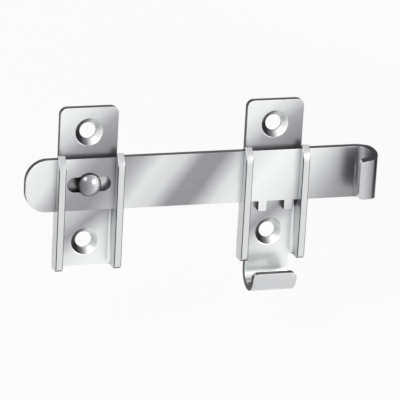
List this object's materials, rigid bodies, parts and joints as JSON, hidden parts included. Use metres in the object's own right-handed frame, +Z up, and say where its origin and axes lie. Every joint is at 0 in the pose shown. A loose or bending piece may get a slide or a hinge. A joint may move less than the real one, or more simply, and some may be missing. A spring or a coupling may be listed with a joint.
{
  "type": "padbolt",
  "caption": "Flat sliding bar held by a headed stud in two folded, open-topped screw-on brackets, with a rolled pull and a rolled hook.",
  "frame": {"origin": "midway between the left bracket's two screw holes, on its back face, where it meets the wall", "axes": "+X along the bar towards the pull, +Y into the wall, +Z up"},
  "size_m": [0.1218, 0.0152, 0.0666],
  "materials": {
    "bracket_steel": "zinc plated, satin",
    "bar_steel": "zinc plated, drawn along the bar",
    "stud_steel": "zinc plated, turned"
  },
  "bodies": {
    "brackets": {"left_bracket": "bracket_steel", "right_bracket": "bracket_steel", "stop_stud": "stud_steel"},
    "bolt": {"bolt_bar": "bar_steel"}
  },
  "joints": [
    {"name": "bolt_slide", "type": "slide", "parent": "brackets", "child": "bolt", "axis": [1, 0, 0], "range_m": [-0.0033, 0.0013]}
  ]
}
